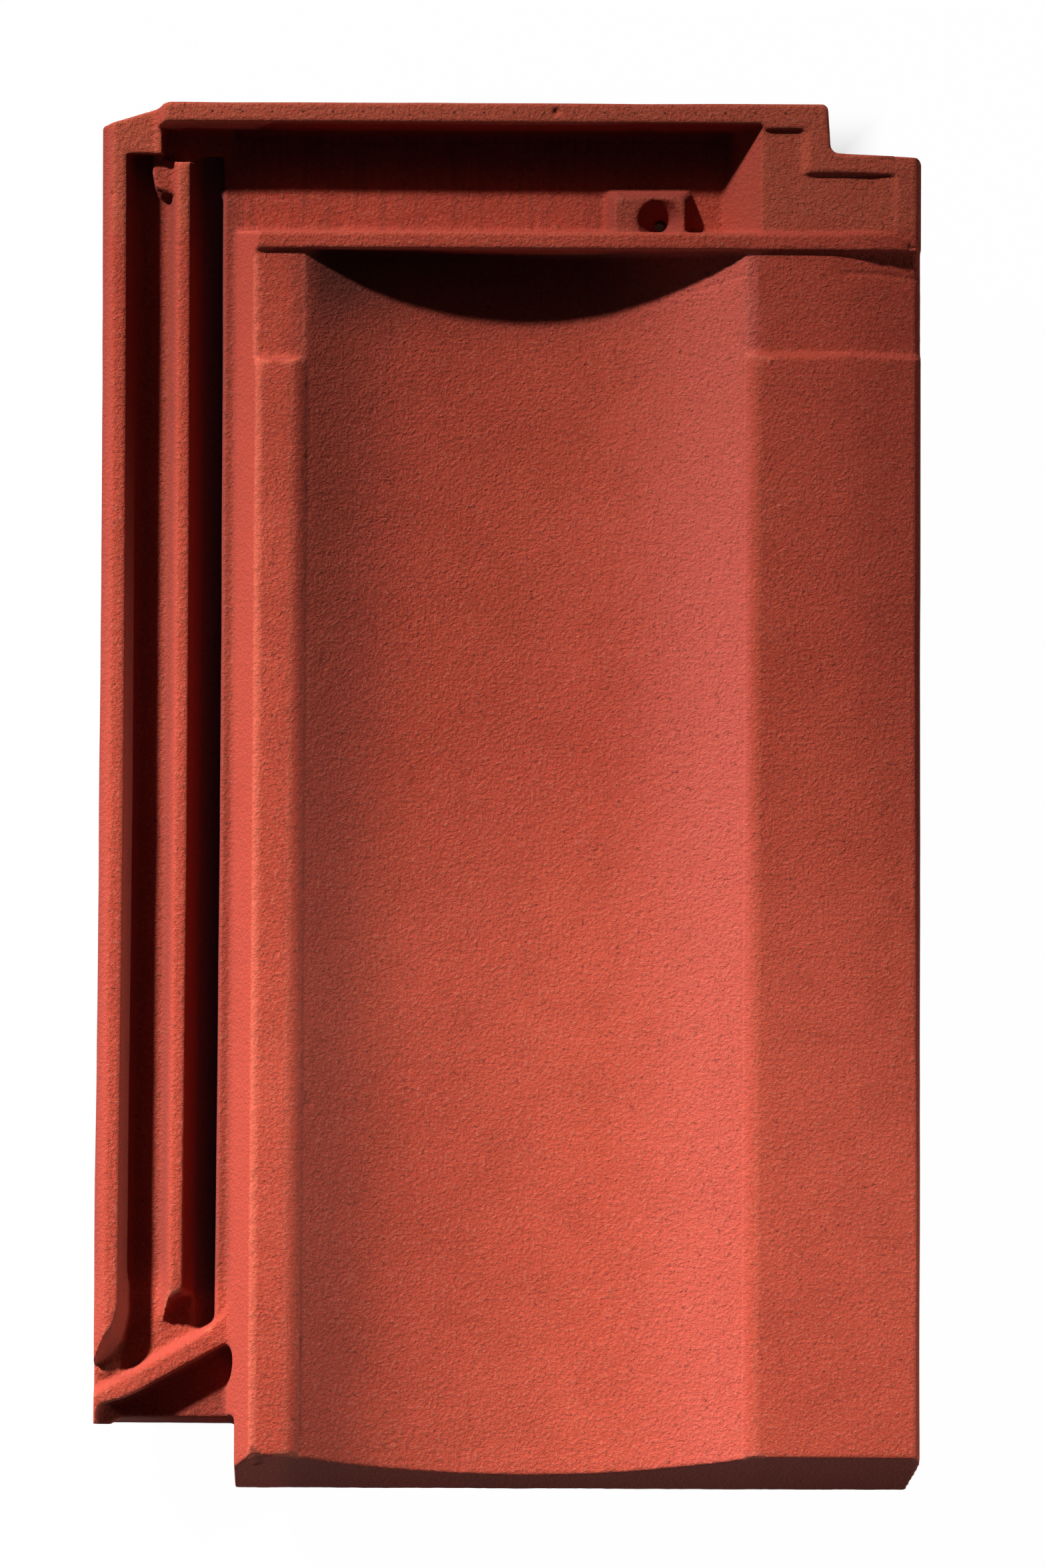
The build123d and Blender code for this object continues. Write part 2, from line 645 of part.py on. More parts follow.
def diagonal_ridge():
    """A ramp up to a flat crest across the lock, swept round into the ledge at its right end."""
    root = LOCK_BOTTOM_H + 4.0
    back = RIDGE_RAMP + RIDGE_TOP
    toe = 0.8
    slope = (RIDGE_H - CHANNEL_1_H) / RIDGE_RAMP
    outline = rounded([
        (-toe, root, 0.0),
        (-toe, CHANNEL_1_H - toe * slope, 0.0),
        (RIDGE_RAMP, RIDGE_H, 1.0),
        (back, RIDGE_H, 0.0),
        (back, root, 0.0),
    ])
    bar = extrude(ridge_plane().offset(-12.0) * outline, amount=80.0)
    room = block((LEFT, LEDGE[1] + 4.0), (LOCK_FOOT, 0.0), LOCK_BOTTOM_H, ABOVE_H)
    right = LEDGE[1] + 2.0
    foot = RIDGE_SWEEP[0][1] - 1.5
    sweep = tapered(
        [*RIDGE_SWEEP, (right, RIDGE_SWEEP[-1][1]), (right, foot)],
        [*RIDGE_SWEEP_TOE, (right, RIDGE_SWEEP_TOE[-1][1]), (right, foot)],
        CHANNEL_2_H - 0.3, RIDGE_H,
    )
    return (bar & room) + sweep


def foot_recess():
    """The recess between the diagonal ridge and the lock's foot end, open at the foot."""
    return upright([
        (RECESS_EDGE[0][0], FOOT),
        *RECESS_EDGE,
        (RECESS_EDGE[-1][0], FOOT),
    ], RECESS_H, ABOVE_H)


def roof_tile():
    """The whole tile: masses first, then everything that is pressed or trimmed out of them."""
    tile = body_mass()
    tile -= trough_hollow()
    trough_edges = long_edges(tile, TROUGH_LEFT, 0.0) + long_edges(tile, TROUGH_RIGHT, 0.0)
    tile = fillet(trough_edges, TROUGH_EDGE_RADIUS)
    tile += side_lock() + head_corner()
    tile += (head_plate() + foot_wall() + cross_rib()) - trough_hollow()
    for x_middle in NIB_X:
        tile += nib(x_middle)

    # Weather side
    tile -= block((BODY_LEFT_TOP - 5.0, RIGHT + 5.0), (RIB_2[0], HEAD + 5.0), HEAD_TOP_H, ABOVE_H)
    tile -= rest_pads()
    tile -= upper_pad()
    tile -= head_channel()
    tile += nail_boss()
    tile -= nail_hole()
    for cutter in flange_falls():
        tile -= cutter

    # Outline
    for cutter in (foot_front(), *foot_sides(), *head_outline()):
        tile -= cutter

    # Foot end of the side lock
    tile -= lock_outlet()
    tile += diagonal_ridge()
    tile -= foot_recess()
    return tile


tile = roof_tile()
os.makedirs("parts", exist_ok=True)
export_step(tile, "parts/clay_tile.step")
box = tile.bounding_box()
print("solids", len(tile.solids()), "valid", tile.is_valid, "litres", round(tile.volume / 1e6, 3))
print("box", box.min, box.max)
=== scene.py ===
import math
import bmesh
import bpy
import numpy as np
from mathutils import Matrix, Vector


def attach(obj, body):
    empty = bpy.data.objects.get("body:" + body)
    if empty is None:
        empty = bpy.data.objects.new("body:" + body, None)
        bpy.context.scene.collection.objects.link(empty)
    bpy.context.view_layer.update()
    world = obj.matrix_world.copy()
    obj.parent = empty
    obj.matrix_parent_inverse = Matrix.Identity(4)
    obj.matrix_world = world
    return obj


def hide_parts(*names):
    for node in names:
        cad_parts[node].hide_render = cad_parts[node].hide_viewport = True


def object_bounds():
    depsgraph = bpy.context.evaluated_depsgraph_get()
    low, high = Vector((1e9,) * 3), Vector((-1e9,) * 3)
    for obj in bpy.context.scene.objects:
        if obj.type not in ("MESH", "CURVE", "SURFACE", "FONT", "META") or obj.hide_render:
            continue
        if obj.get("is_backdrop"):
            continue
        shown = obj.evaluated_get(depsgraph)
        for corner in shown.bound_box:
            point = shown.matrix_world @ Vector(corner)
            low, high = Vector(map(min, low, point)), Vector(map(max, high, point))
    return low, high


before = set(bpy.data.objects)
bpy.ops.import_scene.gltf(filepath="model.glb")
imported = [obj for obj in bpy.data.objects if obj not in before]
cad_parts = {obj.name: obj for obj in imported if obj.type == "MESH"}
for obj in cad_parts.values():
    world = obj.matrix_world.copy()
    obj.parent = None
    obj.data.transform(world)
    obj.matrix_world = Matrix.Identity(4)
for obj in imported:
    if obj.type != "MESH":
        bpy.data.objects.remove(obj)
cad_low, cad_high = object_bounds()

# The tile body.
# One blank of red clay, squeezed between two press moulds and fired as one piece. The press rounds
# every edge by about a millimetre, and it leaves the trough as one smooth curve.
MM = 0.001
VOXEL = 0.7 * MM
RIB_2_FOOT = 185.6
CUT_HEIGHTS = (23.5, 39.0)
CURVE_X = (-69.8, 79.8)
CURVE_Y = (-224.0, 184.8)
CURVE_DEGREE = 7
SHELL = 12.0
SNAP_REACH = 0.4

work = bmesh.new()
work.from_mesh(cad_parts["clay_tile"].data)
bmesh.ops.remove_doubles(work, verts=work.verts, dist=0.001 * MM)
mesh = bpy.data.meshes.new("tile_body")
work.to_mesh(mesh)
work.free()
tile = bpy.data.objects.new("tile_body", mesh)
bpy.context.scene.collection.objects.link(tile)


def remade(piece, kind, **settings):
    """Replace a piece's mesh by what one modifier makes of it."""
    modifier = piece.modifiers.new("shape", kind)
    for key, value in settings.items():
        setattr(modifier, key, value)
    depsgraph = bpy.context.evaluated_depsgraph_get()
    made = bpy.data.meshes.new_from_object(piece.evaluated_get(depsgraph), depsgraph=depsgraph)
    piece.modifiers.clear()
    piece.data = made


def rows(collection, field, width, kind=np.float64):
    """One field of a mesh's elements as an array with a row to each."""
    values = np.empty(len(collection) * width, kind)
    collection.foreach_get(field, values)
    return values.reshape(-1, width)


def between(values, limits):
    """Which values lie between two limits."""
    return (values > limits[0]) & (values < limits[1])


# The solid's corners on the cut at rib 2 lie on the trough's true curve. A polynomial through them
# rounds the trough's short flats, on its upper side and on the shell's lower side.
corners = rows(tile.data.vertices, "co", 3)
x, y, z = corners.T / MM
on_cut = (abs(y - RIB_2_FOOT) < 0.01) & between(z, CUT_HEIGHTS) & between(x, CURVE_X)
trough_curve = np.polynomial.Polynomial.fit(corners[on_cut, 0], corners[on_cut, 2], CURVE_DEGREE)

remade(tile, "REMESH", mode="VOXEL", voxel_size=VOXEL, adaptivity=0.0)
co = rows(tile.data.vertices, "co", 3)
edges = rows(tile.data.edges, "vertices", 2, np.int32)
x, y, z = co.T / MM
inside = between(x, CURVE_X) & between(y, CURVE_Y)
for surface in (trough_curve(co[:, 0]), trough_curve(co[:, 0]) - SHELL * MM):
    near = inside & (abs(co[:, 2] - surface) < SNAP_REACH * MM)
    co[near, 2] = surface[near]

# Each point moves part of the way to the middle of its neighbours, which rounds the edges. The end
# of the lock's middle rib and the three long edges of the shoulder and the trough are rounder.
EDGE_ROUNDS = 2
WORN_ROUNDS = 14
EDGE_SHARE = 0.5
RIB_END_X = (-122.0, -100.0)
RIB_END_Y = (-183.0, -168.0)
RIB_END_HEIGHT = 20.0
LONG_EDGES = (-86.4, -74.0, 84.0)
LONG_EDGE_REACH = 4.5
LONG_EDGE_HEIGHT = 37.0
LONG_EDGE_HEAD = 184.0

x, y, z = co.T / MM
worn = between(x, RIB_END_X) & between(y, RIB_END_Y) & (z > RIB_END_HEIGHT)
for edge_x in LONG_EDGES:
    worn |= (abs(x - edge_x) < LONG_EDGE_REACH) & (y < LONG_EDGE_HEAD) & (z > LONG_EDGE_HEIGHT)
pressed = co.copy()
first, second = edges[:, 0], edges[:, 1]
links = np.bincount(first, minlength=len(co)) + np.bincount(second, minlength=len(co))
for step in range(EDGE_ROUNDS + WORN_ROUNDS):
    share = np.full(len(co), EDGE_SHARE) if step < EDGE_ROUNDS else EDGE_SHARE * worn
    for axis in range(3):
        column = pressed[:, axis]
        near = np.bincount(first, column[second], len(co)) + np.bincount(second, column[first], len(co))
        pressed[:, axis] = column + (near / links - column) * share
tile.data.vertices.foreach_set("co", pressed.ravel())
tile.data.update()
normal = rows(tile.data.vertex_normals, "vector", 3)
rounding = np.einsum("ij,ij->i", co - pressed, normal)
co = pressed

# The cover flange's fall.
# The flat on the right was pressed with a soft line from which it falls away to the edge. Each row
# is a y, the x of that line there and the fall at the right edge.
FALL = np.array((
    (-175.0, 127.0, 0.1), (-92.0, 124.0, 1.0), (0.0, 122.5, 2.3), (45.0, 121.0, 3.2), (149.0, 116.0, 4.0),
    (151.0, 115.0, 4.2), (185.5, 115.0, 4.2), (185.7, 119.0, 2.2), (236.0, 126.0, 0.8)))
SOFT = 3.5
RIGHT_EDGE = 140.0
FLANGE_HEIGHT = 33.0
FACING_UP = 0.9

x, y, z = co.T / MM
line = np.interp(y, FALL[:, 0], FALL[:, 1])
slope = np.interp(y, FALL[:, 0], FALL[:, 2]) / (RIGHT_EDGE - line)
on_flange = (normal[:, 2] > FACING_UP) & (z > FLANGE_HEIGHT)
co[:, 2] -= on_flange * slope * SOFT * np.log(1.0 + np.exp(-abs(x - line) / SOFT)) * MM

# The skin of the clay.
# Drying leaves faces that are flat only to a few tenths of a millimetre, and handling tears grains
# of clay from the crests. Each row is a height, the size of its lumps and a seed.
SWELLS = ((0.16, 46.0, 3), (0.05, 14.0, 4))
TEARS = ((0.16, 3.2, 5), (0.10, 1.5, 6))
CREST_ROUNDING = (0.03 * MM, 0.18 * MM)
NOISE_CELLS = 64


def rise(values, start, full):
    """0 up to start, 1 past full and a smooth rise between. Start may be the larger one."""
    share = np.clip((values - start) / (full - start), 0.0, 1.0)
    return share * share * (3.0 - 2.0 * share)


def unevenness(points, size, seed):
    """Smooth waves from -1 to 1 with lumps of one size, or of one size to each axis."""
    table = np.random.default_rng(seed).uniform(-1.0, 1.0, (NOISE_CELLS, NOISE_CELLS, NOISE_CELLS))
    scaled = points / np.asarray(size)
    cell = np.floor(scaled).astype(int)
    part = scaled - cell
    part = part * part * (3.0 - 2.0 * part)
    total = np.zeros(len(points))
    for corner in np.ndindex(2, 2, 2):
        weight = np.prod(np.where(corner, part, 1.0 - part), axis=1)
        at = (cell + np.array(corner)) % NOISE_CELLS
        total += weight * table[at[:, 0], at[:, 1], at[:, 2]]
    return total


def layered(layers):
    """Layers of unevenness on all points, added up."""
    return sum(height * MM * unevenness(co, size * MM, seed) for height, size, seed in layers)


crest = rise(rounding, *CREST_ROUNDING)
co = co + normal * (layered(SWELLS) + crest * layered(TEARS))[:, None]

# Marks of the mould and of handling.
# The mould leaves a vent mark in the head rim, and sand grains, chips and drying cracks break the
# weather side. The clay bears them from before it was fired.
weather_side = normal[:, 2] > 0.2


def dent(x, y, radius, deep, ragged=0.0, seed=0):
    """Press a small bowl into the weather side, round or with a ragged rim. Sizes are millimetres."""
    away = np.hypot(co[:, 0] - x * MM, co[:, 1] - y * MM) / (radius * MM)
    if ragged:
        away = away * (1.0 + ragged * unevenness(co, radius * 0.8 * MM, seed))
    co[:, 2] -= np.where(weather_side, deep * MM * (1.0 - rise(away, 0.35, 1.0)), 0.0)


def scratch(points, width, deep):
    """Draw a fine groove through points on the weather side. Sizes are millimetres."""
    away = np.full(len(co), 1.0)
    for (x_0, y_0), (x_1, y_1) in zip(points, points[1:]):
        run = np.array([x_1 - x_0, y_1 - y_0])
        at = co[:, :2] / MM - (x_0, y_0)
        share = np.clip(at @ run / (run @ run), 0.0, 1.0)
        away = np.minimum(away, np.hypot(*(at - share[:, None] * run).T) / width)
    co[:, 2] -= np.where(weather_side, deep * MM * (1.0 - away), 0.0)


# The vent mark, the pit at the foot's left corner, and chips on the right pad's edge, in the
# lock's recess and on its head plate
dent(15.4, 232.9, radius=1.9, deep=0.7)
dent(-84.6, -225.6, radius=2.6, deep=1.3, ragged=0.5, seed=21)
dent(136.5, 187.0, radius=1.6, deep=0.6, ragged=0.5, seed=22)
dent(-94.0, -212.0, radius=1.2, deep=0.9, ragged=0.5, seed=23)
dent(-136.3, 205.3, radius=0.9, deep=0.8, ragged=0.3, seed=24)

# Drying cracks on the flange and the trough below rib 2, on the upper pad and on the head plate
scratch([(113.0, 178.1), (124.8, 178.1), (138.5, 176.7)], width=0.9, deep=0.45)
scratch([(62.3, 172.2), (80.2, 177.4)], width=0.9, deep=0.25)
scratch([(125.5, 217.0), (135.3, 216.8)], width=0.9, deep=0.3)
scratch([(-121.0, 206.7), (-118.0, 206.5)], width=0.8, deep=0.5)

# Pits where a grain of sand fell out, scattered over the whole weather side
PITS = 26
PIT_FIELD = ((-130, -220), (130, 225))
for number, (pit_x, pit_y) in enumerate(np.random.default_rng(8).uniform(*PIT_FIELD, (PITS, 2))):
    dent(pit_x, pit_y, radius=0.7 + 0.4 * (number % 3), deep=0.2, ragged=0.4, seed=30 + number)

# The rim's lower edge is scalloped where the trimming wire caught sand
RIM_EDGE = 229.0 * MM
SCALLOP = 0.3 * MM
SCALLOP_LUMPS = (3.0 * MM, 50.0 * MM, 50.0 * MM)
near_rim = rise(abs(co[:, 1] - RIM_EDGE), 2.2 * MM, 0.0) * crest
co[:, 1] += near_rim * SCALLOP * unevenness(co, SCALLOP_LUMPS, 9)

# A low pad of clay is left at the toe of the diagonal ridge, where the two moulds part
TOE = (-134.0, -195.5)
TOE_REACH = (8.0, 4.5)
TOE_HEIGHT = 1.6 * MM
from_toe = np.hypot((co[:, 0] / MM - TOE[0]) / TOE_REACH[0], (co[:, 1] / MM - TOE[1]) / TOE_REACH[1])
co[:, 2] += np.where(weather_side, TOE_HEIGHT * rise(from_toe, 1.0, 0.2), 0.0)

# Drying bows the thin lock strip towards the body, most a little above the tile's middle
BOW = 0.6 * MM
BOW_MIDDLE = 50.0
BOW_REACH = 190.0
LOCK_STRIP = (-80.0, -100.0)
bow = 1.0 - ((co[:, 1] / MM - BOW_MIDDLE) / BOW_REACH) ** 2
co[:, 0] += BOW * np.clip(bow, 0.0, 1.0) * rise(co[:, 0] / MM, *LOCK_STRIP)

co = np.clip(co, np.array(cad_low), np.array(cad_high))
tile.data.vertices.foreach_set("co", co.ravel())
tile.data.update()

# Where the clay looks different.
# Crests are rubbed and walls slid on the mould. Painted shade darkens the lock's channels and
# recess, the head channel along the rim, the nail boss, the foot faces and the trough under rib 2,
# and a dark purple painted shade lies in channel 2's outlet. The trough's far slope is painted
# darker as shade and its near slope pinker as a painted sheen. A wet brush wiped the head channel,
# and the head's pads are dusty with sand.
TROUGH_EDGES = (-74.0, 84.0)
ALONG = {
    "x": co[:, 0] / MM,
    "y": co[:, 1] / MM,
    "deep": (cad_high[2] - co[:, 2]) / MM,
    "upward": normal[:, 2],
    "footward": -normal[:, 1],
}
in_trough = between(ALONG["x"], TROUGH_EDGES) & (ALONG["y"] < RIB_2_FOOT)


def zone(**limits):
    """How far each point is in a zone. To each direction it has where the zone starts and where it
    is full, and for a band also where it starts to end and where it is over."""
    share = np.ones(len(co))
    for name, (start, full, *end) in limits.items():
        share *= rise(ALONG[name], start, full)
        if end:
            share *= rise(ALONG[name], end[1], end[0])
    return share


# Painted shade: a darker colour where shade falls, in the lock's channels and recess, in the head channel
# along the rim, at the nail boss, on the foot faces and in the trough under rib 2.
foot_face_painted_shade = 0.75 + 0.2 * zone(x=(-60.0, 0.0))
painted_shade = np.maximum.reduce((
    0.55 * zone(x=(-92.0, -96.0), y=(-172.0, -160.0), deep=(9.5, 14.5)),
    0.65 * zone(x=(-92.0, -96.0), y=(-168.0, -176.0), deep=(18.5, 20.0)),
    zone(x=(-98.0, -94.0), y=(205.0, 221.0), deep=(9.0, 13.0)),
    in_trough * zone(x=(60.0, 25.0), y=(152.0, 180.0), deep=(1.0, 5.0)),
    0.5 * zone(x=(31.0, 34.0, 61.0, 64.0), y=(191.7, 194.0, 206.0, 209.0), deep=(5.0, 8.0)),
    foot_face_painted_shade * zone(y=(-202.0, -206.0), footward=(0.4, 0.7)),
))
marks = {
    "crest": crest,
    "wall": zone(upward=(0.97, 0.75)) * (normal[:, 2] > 0.0) * (1.0 - crest),
    "painted_shade": painted_shade,
    # Painted shade: the trough's left slope, which faces away from the key lamp, is painted darker.
    "far_slope_painted_shade": in_trough * zone(x=(-26.0, -62.0), deep=(0.5, 3.0)),
    # Painted sheen: the trough's right slope, which faces the key lamp, is painted pinker and paler, most
    # towards the head.
    "near_slope_painted_sheen": in_trough * zone(x=(26.0, 78.0), deep=(0.2, 2.0)) * (0.6 + 0.4 * zone(y=(-150.0, 50.0))),
    "wiped": zone(x=(-98.0, -94.0, 30.0, 34.0), y=(191.7, 194.0), deep=(13.0, 14.5)),
    "dusty": zone(y=(190.0, 196.0), deep=(11.0, 9.5)),
    # Painted shade: a dark purple over the floor at the foot end of channel 2, where shade lies.
    "purple_painted_shade": zone(x=(-110.0, -108.0, -98.0, -96.0), y=(-174.0, -168.0), deep=(15.0, 18.5)),
}
not_underside = zone(upward=(-0.7, -0.3))
for name, values in marks.items():
    layer = tile.data.attributes.new(name, "FLOAT", "POINT")
    layer.data.foreach_set("value", (values * not_underside).astype(np.float32))

TRIANGLES = 188000
remade(tile, "DECIMATE", ratio=TRIANGLES / (2 * len(tile.data.polygons)))
tile.data.polygons.foreach_set("use_smooth", np.ones(len(tile.data.polygons), bool))

# The fired clay.
# Clay pressed in plaster moulds and left unglazed. The eye gets a dry, matt brick red with a fine
# sandy skin, pinker and smoother on the walls and pale on the crests. Painted shade darkens the
# channels and hollows to a browner red, and a painted sheen makes the trough's near slope pinker.
clay = bpy.data.materials.new("fired_clay_pressed")
clay.use_nodes = True
tree = clay.node_tree
shader = tree.nodes["Principled BSDF"]


def linear(code):
    """An sRGB hex colour as linear red, green, blue and 1."""
    parts = [int(code[at:at + 2], 16) / 255.0 for at in (1, 3, 5)]
    return [p / 12.92 if p <= 0.04045 else ((p + 0.055) / 1.055) ** 2.4 for p in parts] + [1.0]


def node(tree, kind, inputs=None, **settings):
    """Add a node with its settings; an input takes a value or another node's output."""
    made = tree.nodes.new(kind)
    for key, value in settings.items():
        setattr(made, key, value)
    for key, value in (inputs or {}).items():
        if isinstance(value, bpy.types.NodeSocket):
            tree.links.new(value, made.inputs[key])
        else:
            made.inputs[key].default_value = value
    return made


# Patterns of the clay: size of their lumps in millimetres, stretch along x, y and z, detail and
# roughness of the noise, the part of its range that is used, and how strong they are at most.
# The real sand and grit have grains of about 0.3 mm, too fine to show in the picture. They are
# drawn at 0.6 to 0.7 mm.
PATTERNS = {
    "kiln_shade": (60.0, (1, 1, 1), 3, 0.5, 0.35, 0.65, 1.0),
    "mottling": (9.0, (1, 1, 1), 3, 0.6, 0.42, 0.66, 0.30),
    "pale_sand": (0.6, (1, 1, 1), 3, 0.7, 0.53, 0.70, 0.30),
    "dark_specks": (0.7, (1, 1, 1), 3, 0.7, 0.57, 0.69, 0.60),
    "brush_marks": (0.9, (1, 16, 4), 3, 0.6, 0.45, 0.70, 0.45),
    "grit": (0.6, (1, 1, 1), 4, 0.7, 0.0, 1.0, 1.0),
    "orange_peel": (1.6, (1, 1, 1), 3, 0.6, 0.0, 1.0, 1.0),
}
place = node(tree, "ShaderNodeTexCoord").outputs["Object"]
pattern = {}
for name, (size, stretch, detail, rough, low, high, most) in PATTERNS.items():
    mapped = node(tree, "ShaderNodeMapping", {"Vector": place, "Scale": [1.0 / s for s in stretch]})
    noise = node(tree, "ShaderNodeTexNoise", {
        "Vector": mapped.outputs[0],
        "Scale": 1.0 / (2.0 * size * MM),
        "Detail": detail,
        "Roughness": rough,
    })
    part = node(tree, "ShaderNodeMapRange", {
        "Value": noise.outputs["Fac"],
        "From Min": low,
        "From Max": high,
        "To Max": most,
    })
    pattern[name] = part.outputs[0]

# How strongly each mark colours the clay where it is full
STRONGEST = {
    "crest": 0.3,
    "wall": 0.75,
    "painted_shade": 1.0,
    "far_slope_painted_shade": 1.0,
    "near_slope_painted_sheen": 0.8,
    "wiped": 1.0,
    "dusty": 0.4,
    "purple_painted_shade": 0.5,
}
for name, most in STRONGEST.items():
    mark = node(tree, "ShaderNodeAttribute", attribute_name=name).outputs["Fac"]
    pattern[name] = node(tree, "ShaderNodeMath", {0: mark, 1: most}, operation="MULTIPLY").outputs[0]
brushed = node(tree, "ShaderNodeMath", {
    0: pattern["wiped"], 1: pattern["brush_marks"]}, operation="MULTIPLY")
pattern["brush_marks"] = brushed.outputs[0]

# A row of small dots in the head rim, from the pins of the mould. The sum that the row counts from
# has 20 more steps in it, which keep it above 0, and half a step, which puts the dots mid-step.
DOT_STEP = 10.3 * MM
DOT_FIRST = -102.1 * MM
DOT_LINE = 232.6 * MM
DOT_CORE = 0.3 * MM
DOT_RIM = 0.55 * MM
DOT_STRENGTH = 0.8
RIM_TOP = 38.0 * MM
spot = node(tree, "ShaderNodeSeparateXYZ", {0: place})
along = node(tree, "ShaderNodeMath", {0: spot.outputs[0], 1: 20.5 * DOT_STEP - DOT_FIRST}, operation="ADD")
turn = node(tree, "ShaderNodeMath", {0: along.outputs[0], 1: DOT_STEP}, operation="MODULO")
beside = node(tree, "ShaderNodeMath", {0: turn.outputs[0], 1: DOT_STEP / 2}, operation="SUBTRACT")
up = node(tree, "ShaderNodeMath", {0: spot.outputs[1], 1: DOT_LINE}, operation="SUBTRACT")
flat = node(tree, "ShaderNodeCombineXYZ", {0: beside.outputs[0], 1: up.outputs[0]})
away = node(tree, "ShaderNodeVectorMath", {0: flat.outputs[0]}, operation="LENGTH")
dots = node(tree, "ShaderNodeMapRange", {
    "Value": away.outputs["Value"],
    "From Min": DOT_CORE,
    "From Max": DOT_RIM,
    "To Min": DOT_STRENGTH,
    "To Max": 0.0,
})
on_top = node(tree, "ShaderNodeMath", {0: spot.outputs[2], 1: RIM_TOP}, operation="GREATER_THAN")
on_rim = node(tree, "ShaderNodeMath", {0: dots.outputs[0], 1: on_top.outputs[0]}, operation="MULTIPLY")
pattern["dots"] = on_rim.outputs[0]

# Two shades of the clay, and the colours that each pattern and mark lays over them, in this order
SHADES = ("#AA3C28", "#B64631")
LAYERS = (
    ("mottling", "#98351F", "MIX"),
    # A painted sheen: pale pink over the trough's near slope.
    ("near_slope_painted_sheen", "#CC5A4C", "MIX"),
    ("dusty", "#B85A3E", "MIX"),
    ("pale_sand", "#C98069", "MIX"),
    ("dark_specks", "#4E1D17", "MIX"),
    ("wall", "#9C392B", "MIX"),
    ("brush_marks", "#7A3324", "MIX"),
    # The next three layers are painted shade: the trough's far slope and the hollows are multiplied
    # darker, and channel 2's outlet is mixed towards dark purple.
    ("far_slope_painted_shade", "#DADDE0", "MULTIPLY"),
    ("painted_shade", "#A6B2BC", "MULTIPLY"),
    ("purple_painted_shade", "#523746", "MIX"),
    ("crest", "#C4674F", "MIX"),
    ("dots", "#3A1A14", "MIX"),
)
shades = node(tree, "ShaderNodeMix", {
    0: pattern["kiln_shade"], 6: linear(SHADES[0]), 7: linear(SHADES[1])}, data_type="RGBA")
colour = shades.outputs[2]
for name, code, blend in LAYERS:
    mixed = node(tree, "ShaderNodeMix", {0: pattern[name], 6: colour, 7: linear(code)},
                 data_type="RGBA", blend_type=blend)
    colour = mixed.outputs[2]
tree.links.new(colour, shader.inputs["Base Color"])
shader.inputs["Roughness"].default_value = 0.85
shader.inputs["Specular IOR Level"].default_value = 0.25

# The relief of the sand and of the mould's skin: height and strength of each
SAND_RELIEF = (0.7 * MM, 1.0)
PEEL_RELIEF = (0.35 * MM, 0.7)
sand = node(tree, "ShaderNodeBump", {
    "Height": pattern["grit"], "Distance": SAND_RELIEF[0], "Strength": SAND_RELIEF[1]})
peel = node(tree, "ShaderNodeBump", {
    "Height": pattern["orange_peel"], "Distance": PEEL_RELIEF[0], "Strength": PEEL_RELIEF[1],
    "Normal": sand.outputs[0]})
tree.links.new(peel.outputs[0], shader.inputs["Normal"])

tile.data.materials.clear()
tile.data.materials.append(clay)
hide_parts("clay_tile")
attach(tile, "root")

# The sheet that the tile lies on.
# Matt white paper, rolled out flat under a low lamp. It shows as plain white with a faint shadow,
# and stays dark right under the tile, where no lamp reaches it.
REACH = 4.0
SHEET_BELOW = 0.2 * MM
UNDER_TILE = (0.0, 12.0 * MM, 0.0)
UNDER_TILE_HALF = (115.0 * MM, 214.0 * MM, 1.0)
UNDER_TILE_EDGE = (-25.0 * MM, 15.0 * MM)
WHITE_SHARE = 0.99
sheet_mesh = bpy.data.meshes.new("paper_sheet")
sheet_mesh.from_pydata(
    [(-REACH, -REACH, 0), (REACH, -REACH, 0), (REACH, REACH, 0), (-REACH, REACH, 0)], [], [(0, 1, 2, 3)])
sheet = bpy.data.objects.new("paper_sheet", sheet_mesh)
bpy.context.scene.collection.objects.link(sheet)
sheet.location.z = -SHEET_BELOW
sheet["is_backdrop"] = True
paper = bpy.data.materials.new("white_paper_rolled")
paper.use_nodes = True
tree = paper.node_tree
tree.nodes.remove(tree.nodes["Principled BSDF"])
where = node(tree, "ShaderNodeTexCoord").outputs["Object"]
headward = node(tree, "ShaderNodeVectorMath", {0: where, 1: UNDER_TILE}, operation="SUBTRACT")
aside = node(tree, "ShaderNodeVectorMath", {0: headward.outputs[0]}, operation="ABSOLUTE")
past = node(tree, "ShaderNodeVectorMath", {0: aside.outputs[0], 1: UNDER_TILE_HALF}, operation="SUBTRACT")
axes = node(tree, "ShaderNodeSeparateXYZ", {0: past.outputs[0]})
outward = node(tree, "ShaderNodeMath", {0: axes.outputs[0], 1: axes.outputs[1]}, operation="MAXIMUM")
open_floor = node(tree, "ShaderNodeMapRange", {
    "Value": outward.outputs[0],
    "From Min": UNDER_TILE_EDGE[0],
    "From Max": UNDER_TILE_EDGE[1],
    "To Max": WHITE_SHARE,
}, interpolation_type="SMOOTHSTEP")
seen = node(tree, "ShaderNodeLightPath").outputs["Is Camera Ray"]
share = node(tree, "ShaderNodeMath", {0: seen, 1: open_floor.outputs[0]}, operation="MULTIPLY")
matt = node(tree, "ShaderNodeBsdfDiffuse", {"Color": linear("#C4C4C2")})
white = node(tree, "ShaderNodeEmission", {"Color": linear("#FFFFFF"), "Strength": 1.0})
both = node(tree, "ShaderNodeMixShader", {0: share.outputs[0], 1: matt.outputs[0], 2: white.outputs[0]})
tree.links.new(both.outputs[0], tree.nodes["Material Output"].inputs["Surface"])
sheet_mesh.materials.append(paper)

